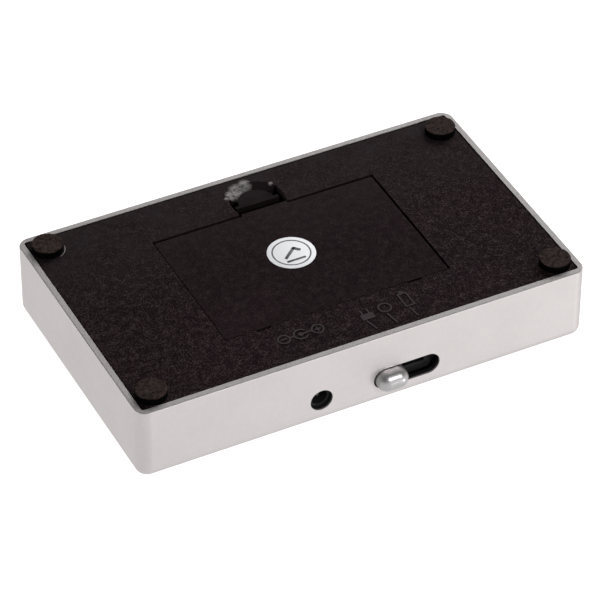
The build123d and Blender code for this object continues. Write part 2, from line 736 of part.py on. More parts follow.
def bend_radii(route):
    """One radius for each inner point: 0.45 of the shorter run, over the tangent of half the turn."""
    points = [Vector(*p) for p in route]
    radii = []
    for before, at, after in zip(points, points[1:], points[2:]):
        turn = (at - before).get_angle(after - at)
        shorter = min((at - before).length, (after - at).length)
        radii.append(0.45 * shorter / tan(radians(turn / 2)))
    return radii


for name, route in leads.items():
    radii = bend_radii(route)
    print(name, "bend radii", [round(r, 1) for r in radii])
    with BuildPart() as lead:
        with BuildLine() as path:
            FilletPolyline(*route, radius=radii)
        with BuildSketch(Plane(origin=path.line @ 0, z_dir=path.line % 0)):
            Circle(lead_diameter / 2)
        sweep()
    save(lead.part, name)
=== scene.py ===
# Lighted display base: its looks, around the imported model. Metres; +Z up, +Y to the wall with the switch.
import json
import math

import bmesh
import bpy
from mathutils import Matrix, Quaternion, Vector


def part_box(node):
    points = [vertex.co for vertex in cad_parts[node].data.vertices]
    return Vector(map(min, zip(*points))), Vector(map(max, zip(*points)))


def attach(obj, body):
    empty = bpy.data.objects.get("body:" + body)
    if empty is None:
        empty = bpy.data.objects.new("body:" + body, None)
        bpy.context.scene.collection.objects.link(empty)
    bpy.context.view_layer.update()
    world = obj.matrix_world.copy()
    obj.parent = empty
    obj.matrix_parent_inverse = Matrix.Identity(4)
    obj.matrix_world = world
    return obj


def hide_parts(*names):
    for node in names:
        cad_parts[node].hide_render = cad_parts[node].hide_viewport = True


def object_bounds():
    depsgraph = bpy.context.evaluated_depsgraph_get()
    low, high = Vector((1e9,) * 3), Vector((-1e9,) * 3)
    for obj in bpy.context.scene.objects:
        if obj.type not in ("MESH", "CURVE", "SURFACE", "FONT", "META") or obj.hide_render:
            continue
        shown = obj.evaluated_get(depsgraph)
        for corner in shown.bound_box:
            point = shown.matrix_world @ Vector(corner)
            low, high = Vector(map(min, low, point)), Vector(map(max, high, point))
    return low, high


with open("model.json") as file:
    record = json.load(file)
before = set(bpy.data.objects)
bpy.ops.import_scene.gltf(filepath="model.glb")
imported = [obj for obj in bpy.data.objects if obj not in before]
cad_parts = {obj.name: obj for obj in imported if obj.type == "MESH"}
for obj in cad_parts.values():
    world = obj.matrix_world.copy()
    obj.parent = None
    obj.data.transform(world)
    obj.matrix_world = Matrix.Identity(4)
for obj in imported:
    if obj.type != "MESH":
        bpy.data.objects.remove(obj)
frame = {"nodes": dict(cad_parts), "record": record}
cadLow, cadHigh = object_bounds()
nodes = frame["nodes"]
mm = 0.001

caseLow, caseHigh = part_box("top_shell")
caseMiddle = (caseLow + caseHigh) / 2
caseHalf = (caseHigh - caseLow) / 2
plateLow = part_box("bottom_plate")[0]  # the tops of its raised marks
latchLow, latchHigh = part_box("latch_tongue")

cameraSet = {
    "lens": 225.16,
    "sensor": 36.0,
    "place": (-0.39945, 0.78710, -0.72164),  # below, behind and to the left of the base
    "aim": (-0.00953, 0.01659, 0.0024),
    "roll": -179.772,  # upside down, as the base lies
}


def makeCamera(s):
    data = bpy.data.cameras.new("camera")
    camera = bpy.data.objects.new("camera", data)
    bpy.context.scene.collection.objects.link(camera)
    data.lens = s["lens"]
    data.sensor_width = s["sensor"]
    data.clip_start = 0.05
    data.clip_end = 60
    look = Vector(s["aim"]) - Vector(s["place"])
    camera.location = s["place"]
    camera.rotation_mode = "QUATERNION"
    camera.rotation_quaternion = look.to_track_quat("-Z", "Y") @ Quaternion((0, 0, 1), math.radians(s["roll"]))
    bpy.context.scene.camera = camera


makeCamera(cameraSet)
bpy.context.scene.view_settings.view_transform = "Standard"
print("camera ready")


def link(tree, fromSocket, toSocket):
    tree.links.new(fromSocket, toSocket)


def addNode(tree, kind, x=0, y=0, **values):
    node = tree.nodes.new(kind)
    node.location = (x, y)
    for key, value in values.items():
        if key in node.inputs:
            node.inputs[key].default_value = value
        else:
            setattr(node, key, value)
    return node


def mathNode(tree, operation, a, b=None, x=0, y=0, clamp=False):
    node = addNode(tree, "ShaderNodeMath", x, y, operation=operation, use_clamp=clamp)
    for socket, value in zip(node.inputs, (a, b)):
        if isinstance(value, (int, float)):
            socket.default_value = value
        elif value is not None:
            link(tree, value, socket)
    return node.outputs[0]


def mapRange(tree, value, fromMin, fromMax, toMin=0.0, toMax=1.0, x=0, y=0):
    node = addNode(tree, "ShaderNodeMapRange", x, y)
    link(tree, value, node.inputs["Value"])
    for key, number in (("From Min", fromMin), ("From Max", fromMax), ("To Min", toMin), ("To Max", toMax)):
        node.inputs[key].default_value = number
    return node.outputs["Result"]


def newGroup(name, inputs, outputs):
    group = bpy.data.node_groups.new(name, "ShaderNodeTree")
    for label, kind, value in inputs:
        socket = group.interface.new_socket(label, in_out="INPUT", socket_type=kind)
        if value is not None:
            socket.default_value = value
    for label, kind in outputs:
        group.interface.new_socket(label, in_out="OUTPUT", socket_type=kind)
    enter = addNode(group, "NodeGroupInput", -1000, 0)
    leave = addNode(group, "NodeGroupOutput", 1000, 0)
    return group, enter, leave


def useGroup(tree, group, vector, x=0, y=0, **values):
    node = addNode(tree, "ShaderNodeGroup", x, y)
    node.node_tree = group
    link(tree, vector, node.inputs["Vector"])
    for key, value in values.items():
        node.inputs[key].default_value = value
    return node


def newMaterial(name):
    material = bpy.data.materials.new(name)
    material.use_nodes = True
    tree = material.node_tree
    tree.nodes.clear()
    out = addNode(tree, "ShaderNodeOutputMaterial", 700, 0)
    shader = addNode(tree, "ShaderNodeBsdfPrincipled", 400, 0)
    link(tree, shader.outputs["BSDF"], out.inputs["Surface"])
    coords = addNode(tree, "ShaderNodeTexCoord", -1400, 0)
    return material, tree, shader, coords.outputs["Object"]


def grey(v):
    return (v, v, v, 1)


def scaled(color, k):
    return tuple(min(1, c * k) for c in color[:3])


def ramp(tree, source, stops, x=0, y=0):
    node = addNode(tree, "ShaderNodeValToRGB", x, y)
    points = node.color_ramp.elements
    while len(points) < len(stops):
        points.new(0.5)
    for point, (place, color) in zip(points, stops):
        point.position = place
        point.color = (*color[:3], 1)
    link(tree, source, node.inputs["Fac"])
    return node.outputs["Color"]


def mixColor(tree, factor, a, b, x=0, y=0):
    node = addNode(tree, "ShaderNodeMix", x, y, data_type="RGBA")
    link(tree, factor, node.inputs[0])
    for socket, value in ((node.inputs[6], a), (node.inputs[7], b)):
        if isinstance(value, tuple):
            socket.default_value = (*value[:3], 1)
        else:
            link(tree, value, socket)
    return node.outputs[2]


def mixValue(tree, factor, a, b, x=0, y=0):
    node = addNode(tree, "ShaderNodeMix", x, y, data_type="FLOAT")
    link(tree, factor, node.inputs[0])
    for socket, value in ((node.inputs[2], a), (node.inputs[3], b)):
        if isinstance(value, (int, float)):
            socket.default_value = value
        else:
            link(tree, value, socket)
    return node.outputs[0]


def bump(tree, height, shader, strength, distance, x=100, y=-500):
    node = addNode(tree, "ShaderNodeBump", x, y, Strength=strength, Distance=distance)
    link(tree, height, node.inputs["Height"])
    link(tree, node.outputs["Normal"], shader.inputs["Normal"])


def makeGrainGroup():
    # two sizes of noise, multiplied: the fine grain of a sprayed or spark-eroded surface
    group, enter, leave = newGroup(
        "fineGrain",
        [
            ("Vector", "NodeSocketVector", None),
            ("Scale", "NodeSocketFloat", 2500.0),
            ("Sharpness", "NodeSocketFloat", 0.5),
        ],
        [("Flecks", "NodeSocketFloat"), ("Height", "NodeSocketFloat")],
    )
    fine = addNode(group, "ShaderNodeTexNoise", -600, 200, Detail=2.0, Roughness=0.6)
    patches = addNode(group, "ShaderNodeTexNoise", -600, -100, Detail=3.0, Roughness=0.6)
    for noise in (fine, patches):
        link(group, enter.outputs["Vector"], noise.inputs["Vector"])
    link(group, enter.outputs["Scale"], fine.inputs["Scale"])
    link(group, mathNode(group, "MULTIPLY", enter.outputs["Scale"], 0.13, -800, -200), patches.inputs["Scale"])
    uneven = mapRange(group, patches.outputs["Fac"], 0.3, 0.7, 0.86, 1.1, -350, -100)
    both = mathNode(group, "MULTIPLY", fine.outputs["Fac"], uneven, -100, 100)
    spread = mapRange(group, both, 0.47, 0.74, 0.0, 1.0, 100, 100)
    flecks = mathNode(group, "MULTIPLY", spread, enter.outputs["Sharpness"], 300, 100, clamp=True)
    link(group, flecks, leave.inputs["Flecks"])
    link(group, both, leave.inputs["Height"])
    return group


def makeScratchGroup():
    # short thin lines in two directions, broken up by a wide noise
    group, enter, leave = newGroup(
        "handlingScratches",
        [
            ("Vector", "NodeSocketVector", None),
            ("Scale", "NodeSocketFloat", 60.0),
            ("Amount", "NodeSocketFloat", 0.4),
        ],
        [("Lines", "NodeSocketFloat")],
    )
    total = None
    for k, (turn, stretch) in enumerate(((0.5, (1, 14, 1)), (-0.9, (1.2, 17, 1)))):
        y = 250 - 500 * k
        place = addNode(group, "ShaderNodeMapping", -800, y)
        place.inputs["Rotation"].default_value = (0, 0, turn)
        place.inputs["Scale"].default_value = stretch
        link(group, enter.outputs["Vector"], place.inputs["Vector"])
        lines = addNode(group, "ShaderNodeTexNoise", -550, y, Detail=2.0, Distortion=0.3)
        link(group, place.outputs["Vector"], lines.inputs["Vector"])
        link(group, enter.outputs["Scale"], lines.inputs["Scale"])
        offMiddle = mathNode(group, "SUBTRACT", lines.outputs["Fac"], 0.5, -350, y)
        ridge = mathNode(group, "ABSOLUTE", offMiddle, None, -200, y)
        thin = mapRange(group, ridge, 0.004, 0.0, 0.0, 1.0, -50, y)
        total = thin if total is None else mathNode(group, "MAXIMUM", total, thin, 150, 0)
    wide = addNode(group, "ShaderNodeTexNoise", -550, -600, Scale=35.0, Detail=1.0)
    link(group, enter.outputs["Vector"], wide.inputs["Vector"])
    breaks = mapRange(group, wide.outputs["Fac"], 0.52, 0.66, 0, 1, -50, -600)
    broken = mathNode(group, "MULTIPLY", total, breaks, 350, 0)
    scratched = mathNode(group, "MULTIPLY", broken, enter.outputs["Amount"], 550, 0, clamp=True)
    link(group, scratched, leave.inputs["Lines"])
    return group


def makeSpotGroup():
    # 1 at the middle of a ball, 0 outside it
    group, enter, leave = newGroup(
        "roundSpot",
        [
            ("Vector", "NodeSocketVector", None),
            ("Middle", "NodeSocketVector", None),
            ("Reach", "NodeSocketFloat", 0.003),
        ],
        [("Mask", "NodeSocketFloat")],
    )
    gap = addNode(group, "ShaderNodeVectorMath", -500, 0, operation="DISTANCE")
    link(group, enter.outputs["Vector"], gap.inputs[0])
    link(group, enter.outputs["Middle"], gap.inputs[1])
    near = mathNode(group, "DIVIDE", gap.outputs["Value"], enter.outputs["Reach"], -200, 0)
    link(group, mapRange(group, near, 1.0, 0.45, 0.0, 1.0, 100, 0), leave.inputs["Mask"])
    return group


caseRounds = {"corner": 4.0 * mm, "topEdge": 3.2 * mm}


def makeDepthGroup(s):
    # how deep a point lies under the outside faces of the case, whose corners and top edges are round
    group, enter, leave = newGroup(
        "caseDepth", [("Vector", "NodeSocketVector", None)], [("Depth", "NodeSocketFloat")]
    )
    shift = addNode(group, "ShaderNodeVectorMath", -1200, 0, operation="SUBTRACT")
    link(group, enter.outputs["Vector"], shift.inputs[0])
    shift.inputs[1].default_value = caseMiddle
    parts = addNode(group, "ShaderNodeSeparateXYZ", -1000, 0)
    link(group, shift.outputs[0], parts.inputs[0])

    def roundOff(a, b, radius, x):
        # depth under two faces that meet in a round edge
        sides = []
        for depth in (a, b):
            short = mathNode(group, "SUBTRACT", radius, depth, x, 150)
            sides.append(mathNode(group, "MAXIMUM", short, 0.0, x + 130, 150))
        squares = [mathNode(group, "MULTIPLY", side, side, x + 260, 150) for side in sides]
        total = mathNode(group, "ADD", *squares, x + 390, 150)
        root = mathNode(group, "SQRT", total, None, x + 520, 150)
        return mathNode(group, "SUBTRACT", radius, root, x + 650, 150)

    def inward(axis, half, y):
        # depth under the nearer of two opposite faces
        out = mathNode(group, "ABSOLUTE", parts.outputs[axis], None, -850, y)
        return mathNode(group, "SUBTRACT", half, out, -700, y)

    fromSide = inward("X", caseHalf.x, 200)
    fromWall = inward("Y", caseHalf.y, 0)
    fromTop = mathNode(group, "SUBTRACT", caseHalf.z, parts.outputs["Z"], -700, -200)
    around = roundOff(fromSide, fromWall, s["corner"], -550)
    link(group, roundOff(around, fromTop, s["topEdge"], 200), leave.inputs["Depth"])
    return group


grainGroup = makeGrainGroup()
scratchGroup = makeScratchGroup()
spotGroup = makeSpotGroup()
depthGroup = makeDepthGroup(caseRounds)

silverPaint = {
    "paint": (0.63, 0.595, 0.59),
    "rimPaintAndShade": (0.27, 0.255, 0.25),  # thinner paint on the rim, darkened further as painted shade on the rim band
    "bareAndShade": (0.006, 0.005, 0.006),  # the black moulding inside, where no paint reaches; it also paints the shade inside the holes, the slot and the gap by the plate
    "metallic": 0.8,
    "roughness": 0.5,
    "rimMetallic": 0.3,
    "rimRoughness": 0.7,
    "bareRoughness": 0.6,
    "fadeStart": 0.1 * mm,  # depth under the outside at which the paint begins to thin out
    "fadeEnd": 0.7 * mm,
    "rimBand": 0.12 * mm,
    "relief": 0.03 * mm,
}


def makeSilverPaint(s):
    material, tree, shader, coords = newMaterial("silverPaint")
    depth = useGroup(tree, depthGroup, coords, -1100, 400).outputs["Depth"]
    faded = mapRange(tree, depth, s["fadeStart"], s["fadeEnd"], 1.0, 0.0, -850, 400)
    parts = addNode(tree, "ShaderNodeSeparateXYZ", -1100, 600)
    link(tree, coords, parts.inputs[0])
    rimEnd = caseLow.z + s["rimBand"]
    onRim = mapRange(tree, parts.outputs["Z"], rimEnd, rimEnd + s["rimBand"], 1.0, 0.0, -850, 600)
    painted = mathNode(tree, "MAXIMUM", faded, onRim, -650, 500)
    flakes = useGroup(tree, grainGroup, coords, -1100, 100, Scale=3600.0, Sharpness=0.6)
    cloud = addNode(tree, "ShaderNodeTexNoise", -1100, -200, Scale=60.0, Detail=3.0)
    link(tree, coords, cloud.inputs["Vector"])
    tones = [(0.35, scaled(s["paint"], 0.98)), (0.65, scaled(s["paint"], 1.02))]
    body = ramp(tree, cloud.outputs["Fac"], tones, -850, -200)
    sparkle = mixColor(tree, flakes.outputs["Flecks"], body, scaled(s["paint"], 1.12), -500, 100)
    # the moulded rim is rougher: grains of the black show through its paint
    grit = useGroup(tree, grainGroup, coords, -1100, -500, Scale=2700.0, Sharpness=1.0)
    bitten = mathNode(tree, "MULTIPLY", onRim, grit.outputs["Flecks"], -650, -500)
    # the rim band takes its darker colour here: painted shade, with thinner paint
    edged = mixColor(tree, onRim, sparkle, s["rimPaintAndShade"], -430, 100)
    worn = mixColor(tree, bitten, edged, scaled(s["rimPaintAndShade"], 0.6), -350, 100)
    # where the paint fades with depth, the black also stands in for shade in holes and gaps
    link(tree, mixColor(tree, painted, s["bareAndShade"], worn, -200, 200), shader.inputs["Base Color"])
    dull, bright = s["roughness"] + 0.06, s["roughness"] - 0.05
    grain = mapRange(tree, flakes.outputs["Height"], 0.3, 0.7, dull, bright, -500, -200)
    rough = mixValue(tree, onRim, grain, s["rimRoughness"], -350, -100)
    link(tree, mixValue(tree, painted, s["bareRoughness"], rough, -200, -100), shader.inputs["Roughness"])
    metal = mixValue(tree, onRim, s["metallic"], s["rimMetallic"], -350, -300)
    link(tree, mathNode(tree, "MULTIPLY", painted, metal, -200, -300), shader.inputs["Metallic"])
    bump(tree, flakes.outputs["Height"], shader, 0.3, s["relief"])
    return material


blackPlastic = {
    "plate": {
        "base": (0.0042, 0.0010, 0.0020),
        "fleck": (0.050, 0.035, 0.035),
        "scale": 2900.0,
        "rough": 0.82,
        "bump": 0.8,
        "shine": 0.04,
        "relief": 0.06 * mm,
    },
    "door": {
        "base": (0.0050, 0.0014, 0.0024),
        "fleck": (0.034, 0.024, 0.024),
        "scale": 3400.0,
        "rough": 0.82,
        "bump": 0.5,
        "shine": 0.04,
        "relief": 0.06 * mm,
    },
    "tongue": {
        "base": (0.0036, 0.0018, 0.0022),
        "fleck": (0.016, 0.012, 0.012),
        "scale": 2400.0,
        "rough": 0.8,
        "bump": 0.4,
        "shine": 0.015,
        "relief": 0.06 * mm,
    },
}
frontTone = {"color": (0.0150, 0.0115, 0.0120), "startY": -4 * mm}  # lighter and uneven from there to the front edge
markHighlight = {  # the tops of the raised signs are coloured lighter: a painted highlight where light catches them
    "color": (0.034, 0.028, 0.029),
    "edge": 0.03 * mm,
    "depth": 0.13 * mm,
}
scuffAndHighlight = {  # where thumbs and nails have polished the finger scoop; its light grey colour is a painted highlight, and the small corner spots are painted glints
    "shine": (0.34, 0.32, 0.32),
    "roughness": 0.28,
    "frontDepth": 1.2 * mm,  # how deep the tongue's front edge lies, from the tops of the raised signs
    "spots": (  # from the middle of the tongue's front edge: x, y, z in mm, and reach
        ((-6.4, 0.2, -0.4), 2.0),
        ((-3.4, -1.2, 0.0), 3.2),
        ((-0.2, -2.6, 0.0), 2.6),
        # the last two spots are painted glints on the corners
        ((-8.4, 1.6, -0.6), 1.0),
        ((7.4, 0.6, -0.6), 0.9),
    ),
}


def makeBlackPlastic(name, s, wear=None):
    material, tree, shader, coords = newMaterial(name)
    grain = useGroup(tree, grainGroup, coords, -1100, 300, Scale=s["scale"], Sharpness=0.9)
    cloud = addNode(tree, "ShaderNodeTexNoise", -1100, 0, Scale=24.0, Detail=4.0)
    link(tree, coords, cloud.inputs["Vector"])
    tones = [(0.3, scaled(s["base"], 0.8)), (0.7, scaled(s["base"], 1.2))]
    body = ramp(tree, cloud.outputs["Fac"], tones, -850, 0)
    flecked = mixColor(tree, grain.outputs["Flecks"], body, s["fleck"], -550, 150)
    scratches = useGroup(tree, scratchGroup, coords, -1100, -300, Scale=55.0, Amount=0.35)
    marked = mixColor(tree, scratches.outputs["Lines"], flecked, scaled(s["fleck"], 1.3), -400, 100)
    # lighter, unevenly, towards the front edge
    parts = addNode(tree, "ShaderNodeSeparateXYZ", -1100, 700)
    link(tree, coords, parts.inputs[0])
    ahead = mapRange(tree, parts.outputs["Y"], frontTone["startY"], caseLow.y, 0.0, 1.0, -900, 900)
    frontPatches = addNode(tree, "ShaderNodeTexNoise", -900, 1100, Scale=90.0, Detail=6.0, Roughness=0.7)
    link(tree, coords, frontPatches.inputs["Vector"])
    uneven = mapRange(tree, frontPatches.outputs["Fac"], 0.35, 0.65, 0.3, 1.0, -700, 1100)
    frontShare = mathNode(tree, "MULTIPLY", ahead, uneven, -500, 900)
    color = mixColor(tree, frontShare, marked, frontTone["color"], -250, 200)
    rough = mapRange(tree, grain.outputs["Height"], 0.3, 0.7, s["rough"] + 0.08, s["rough"] - 0.06, -550, -200)
    if wear:
        front = Vector(((latchLow.x + latchHigh.x) / 2, latchLow.y, plateLow.z + wear["frontDepth"]))
        worn = None
        for k, (offset, reach) in enumerate(wear["spots"]):
            y = -600 - 200 * k
            middle = front + Vector(offset) * mm
            spot = useGroup(tree, spotGroup, coords, -1100, y, Middle=middle, Reach=reach * mm).outputs["Mask"]
            worn = spot if worn is None else mathNode(tree, "MAXIMUM", worn, spot, -900, y)
        drawn = addNode(tree, "ShaderNodeMapping", -1100, -500)
        drawn.inputs["Rotation"].default_value = (0, 0, 0.75)
        drawn.inputs["Scale"].default_value = (1.0, 3.2, 1.0)
        link(tree, coords, drawn.inputs["Vector"])
        streaks = addNode(tree, "ShaderNodeTexNoise", -900, -500, Scale=620.0, Detail=6.0, Roughness=0.8)
        link(tree, drawn.outputs["Vector"], streaks.inputs["Vector"])
        streaky = mapRange(tree, streaks.outputs["Fac"], 0.40, 0.66, 0.12, 1.0, -700, -500)
        patchy = mathNode(tree, "MULTIPLY", worn, streaky, -500, -500)
        # the polished patches take a light grey colour: a painted highlight over real scuffing
        color = mixColor(tree, patchy, color, wear["shine"], -100, 100)
        rough = mixValue(tree, patchy, rough, wear["roughness"], -100, -200)
        # painted highlight: the tops of the raised signs are coloured lighter
        top, foot = plateLow.z + markHighlight["edge"], plateLow.z + markHighlight["depth"]
        raised = mapRange(tree, parts.outputs["Z"], top, foot, 1.0, 0.0, -900, 700)
        color = mixColor(tree, raised, color, markHighlight["color"], 0, 200)
    link(tree, color, shader.inputs["Base Color"])
    link(tree, rough, shader.inputs["Roughness"])
    shader.inputs["Specular IOR Level"].default_value = s["shine"]
    bump(tree, grain.outputs["Height"], shader, s["bump"], s["relief"])
    return material


def makeCommon(name, color, roughness, metallic=0.0, scale=600.0, depth=0.12, relief=0.12):
    material, tree, shader, coords = newMaterial(name)
    grain = useGroup(tree, grainGroup, coords, -1000, 200, Scale=scale * 4, Sharpness=0.5)
    cloud = addNode(tree, "ShaderNodeTexNoise", -1000, -100, Scale=scale, Detail=4.0)
    link(tree, coords, cloud.inputs["Vector"])
    tones = [(0.3, scaled(color, 1 - depth)), (0.7, scaled(color, 1 + depth))]
    body = ramp(tree, cloud.outputs["Fac"], tones, -700, -100)
    flecked = mixColor(tree, grain.outputs["Flecks"], body, scaled(color, 1 + 2 * depth), -350, 100)
    link(tree, flecked, shader.inputs["Base Color"])
    bright, dull = max(0.01, roughness - 0.05), roughness + 0.06
    rough = mapRange(tree, cloud.outputs["Fac"], 0.3, 0.7, bright, dull, -350, -200)
    link(tree, rough, shader.inputs["Roughness"])
    shader.inputs["Metallic"].default_value = metallic
    bump(tree, grain.outputs["Height"], shader, relief, 0.03 * mm)
    return material


foamRubber = {
    "light": (0.036, 0.025, 0.022),
    "dark": (0.002, 0.0015, 0.0015),
    # the sides of the feet are near black: painted shade
    "side": (0.0008, 0.0006, 0.0006),
    "sideShadeFrom": 0.3 * mm,
    "relief": 0.12 * mm,
}


def makeFoamRubber(s):
    material, tree, shader, coords = newMaterial("foamRubber")
    cells = addNode(tree, "ShaderNodeTexVoronoi", -1000, 200, Scale=2300.0)
    clumps = addNode(tree, "ShaderNodeTexNoise", -1000, -100, Scale=700.0, Detail=5.0, Roughness=0.7)
    for node in (cells, clumps):
        link(tree, coords, node.inputs["Vector"])
    pores = mapRange(tree, cells.outputs["Distance"], 0.1, 0.5, 0.0, 1.0, -750, 200)
    lumps = mapRange(tree, clumps.outputs["Fac"], 0.35, 0.65, 0.1, 1.2, -750, -100)
    mottle = mathNode(tree, "MULTIPLY", pores, lumps, -500, 100, clamp=True)
    face = ramp(tree, mottle, [(0.0, s["dark"]), (0.85, s["light"])], -300, 100)
    parts = addNode(tree, "ShaderNodeSeparateXYZ", -1000, 450)
    link(tree, coords, parts.inputs[0])
    # painted shade: above the foot's face, the sides turn near black
    sideShade = mapRange(tree, parts.outputs["Z"], s["sideShadeFrom"] * 0.5, s["sideShadeFrom"] * 1.4, 0.0, 1.0, -300, 400)
    link(tree, mixColor(tree, sideShade, face, s["side"], 0, 200), shader.inputs["Base Color"])
    shader.inputs["Roughness"].default_value = 0.95
    shader.inputs["Specular IOR Level"].default_value = 0.03
    bump(tree, mottle, shader, 0.6, s["relief"])
    return material


clearEpoxy = {
    "cloudy": (0.93, 0.95, 0.95),
    "clear": (0.99, 0.99, 0.97),
    "roughness": (0.03, 0.09),
    "index": 1.5,
}


def makeClearEpoxy(s):
    material, tree, shader, coords = newMaterial("clearEpoxy")
    haze = addNode(tree, "ShaderNodeTexNoise", -800, 0, Scale=500.0, Detail=3.0)
    link(tree, coords, haze.inputs["Vector"])
    tint = ramp(tree, haze.outputs["Fac"], [(0.3, s["cloudy"]), (0.7, s["clear"])], -500, 0)
    link(tree, tint, shader.inputs["Base Color"])
    rough = mapRange(tree, haze.outputs["Fac"], 0.3, 0.7, *s["roughness"], -500, -200)
    link(tree, rough, shader.inputs["Roughness"])
    shader.inputs["Transmission Weight"].default_value = 1.0
    shader.inputs["IOR"].default_value = s["index"]
    return material


satinKnob = {
    "dark": (0.43, 0.42, 0.42),
    "light": (0.50, 0.49, 0.49),
    "fleck": (0.62, 0.61, 0.61),
    "roughness": (0.42, 0.34),
    "metallic": 0.9,
    "relief": 0.02 * mm,
}


def makeSatinKnob(s):
    material, tree, shader, coords = newMaterial("satinKnob")
    grain = useGroup(tree, grainGroup, coords, -1000, 200, Scale=3500.0, Sharpness=0.5)
    cloud = addNode(tree, "ShaderNodeTexNoise", -1000, -100, Scale=320.0, Detail=3.0)
    link(tree, coords, cloud.inputs["Vector"])
    body = ramp(tree, cloud.outputs["Fac"], [(0.3, s["dark"]), (0.7, s["light"])], -700, -100)
    flecked = mixColor(tree, grain.outputs["Flecks"], body, s["fleck"], -350, 100)
    link(tree, flecked, shader.inputs["Base Color"])
    rough = mapRange(tree, grain.outputs["Height"], 0.3, 0.7, *s["roughness"], -350, -200)
    link(tree, rough, shader.inputs["Roughness"])
    shader.inputs["Metallic"].default_value = s["metallic"]
    bump(tree, grain.outputs["Height"], shader, 0.15, s["relief"])
    return material


finishes = {
    "silverPaint": makeSilverPaint(silverPaint),
    "blackPlate": makeBlackPlastic("blackPlate", blackPlastic["plate"], scuffAndHighlight),
    "blackDoor": makeBlackPlastic("blackDoor", blackPlastic["door"]),
    "blackTongue": makeBlackPlastic("blackTongue", blackPlastic["tongue"]),
    "foamRubber": makeFoamRubber(foamRubber),
    "satinKnob": makeSatinKnob(satinKnob),
    "clearEpoxy": makeClearEpoxy(clearEpoxy),
    "labelPaper": makeCommon("labelPaper", (0.60, 0.60, 0.62), 0.5, scale=500.0, depth=0.02, relief=0.08),
    "labelInk": makeCommon("labelInk", (0.010, 0.010, 0.012), 0.5, scale=900.0, depth=0.25),
    "mirrorGlass": makeCommon("mirrorGlass", (0.86, 0.87, 0.88), 0.06, 1.0, 30.0, 0.02, 0.0),
    "zincSteel": makeCommon("zincSteel", (0.56, 0.56, 0.57), 0.35, 1.0, 800.0, 0.1),
    "springSteel": makeCommon("springSteel", (0.66, 0.65, 0.63), 0.25, 1.0, 700.0, 0.08),
    "blackSteel": makeCommon("blackSteel", (0.012, 0.012, 0.013), 0.55, 0.0, 700.0, 0.15),
    "brass": makeCommon("brass", (0.60, 0.45, 0.22), 0.32, 1.0, 500.0, 0.12),
    # far darker than nickel: painted shade inside the socket hole
    "nickelPinShade": makeCommon("nickelPinShade", (0.10, 0.095, 0.09), 0.45, 1.0, 500.0, 0.12),
    "solderMask": makeCommon("solderMask", (0.02, 0.13, 0.06), 0.35, 0.0, 250.0, 0.15),
    "chipBlack": makeCommon("chipBlack", (0.02, 0.02, 0.022), 0.5),
    "tin": makeCommon("tin", (0.62, 0.62, 0.63), 0.3, 1.0, 600.0, 0.08),
    "phosphor": makeCommon("phosphor", (0.85, 0.74, 0.25), 0.6, 0.0, 900.0, 0.08),
    "cellJacket": makeCommon("cellJacket", (0.030, 0.045, 0.11), 0.28, 0.0, 160.0, 0.06, 0.03),
    "cellBand": makeCommon("cellBand", (0.62, 0.48, 0.26), 0.28, 0.6, 200.0, 0.06, 0.03),
    "redVinyl": makeCommon("redVinyl", (0.45, 0.025, 0.02), 0.4),
    "blackVinyl": makeCommon("blackVinyl", (0.014, 0.014, 0.015), 0.42),
    "moulding": makeCommon("moulding", (0.012, 0.012, 0.0125), 0.5),
    "driedGlue": makeCommon("driedGlue", (0.05, 0.045, 0.043), 0.4, 0.0, 1500.0, 0.4, 0.3),
}
slotFinish = {
    "silver_shell": "silverPaint",
    "black_plate": "blackPlate",
    "black_door": "blackDoor",
    "sticker": "labelPaper",
    "foot_rubber": "foamRubber",
    "silver_knob": "satinKnob",
    "mirror": "mirrorGlass",
    "led_lens": "clearEpoxy",
    "board": "solderMask",
    "chip": "chipBlack",
    "steel": "zincSteel",
    "blackened_steel": "blackSteel",
    "switch_plastic": "moulding",
    "brass": "brass",
    "contact_steel": "springSteel",
    "cell_jacket": "cellJacket",
    "red_wire": "redVinyl",
    "black_wire": "blackVinyl",
}
nodeFinish = {  # pieces that don't look as their slot does
    "latch_tongue": "blackTongue",
    "socket_pin": "nickelPinShade",
    "socket_spring": "nickelPinShade",
}
slotOf = {part["node"]: part["material_slot"] for part in frame["record"]["subparts"]}
for name, slotName in slotOf.items():
    nodes[name].data.materials.clear()
    nodes[name].data.materials.append(finishes[nodeFinish.get(name, slotFinish[slotName])])
print("materials ready")


def selectOnly(o):
    bpy.ops.object.select_all(action="DESELECT")
    o.select_set(True)
    bpy.context.view_layer.objects.active = o


def pickFaces(o, test):
    # in edit mode: selects the faces whose middle and normal pass the test, in the mesh's own coordinates
    bpy.ops.mesh.select_mode(type="FACE")
    bpy.ops.mesh.select_all(action="DESELECT")
    mesh = bmesh.from_edit_mesh(o.data)
    for face in mesh.faces:
        face.select_set(test(face.calc_center_median(), face.normal))
    bmesh.update_edit_mesh(o.data)


def settle(o, name, nodeName, finishNames, stands=(), smooth=35):
    # places the mesh, gives it its finishes, and rides it on the body of a CAD node
    selectOnly(o)
    bpy.ops.object.transform_apply(location=True, rotation=True, scale=True)
    bpy.ops.object.shade_smooth_by_angle(angle=math.radians(smooth))
    o.name = name
    o.data.name = name
    for finish in finishNames:
        o.data.materials.append(finishes[finish])
    body = next(b for b, members in frame["record"]["behaviour"]["bodies"].items() if nodeName in members)
    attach(o, body)
    if stands:
        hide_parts(*stands)
    return o


def joinAll(members):
    bpy.ops.object.select_all(action="DESELECT")
    for o in members:
        o.select_set(True)
    bpy.context.view_layer.objects.active = members[0]
    bpy.ops.object.join()


def applyModifiers(o):
    selectOnly(o)
    for modifier in list(o.modifiers):
        bpy.ops.object.modifier_apply(modifier=modifier.name)


footShape = {"edge": 0.25 * mm, "voxel": 0.16 * mm, "cellSize": 0.9 * mm, "crumple": 0.2 * mm}


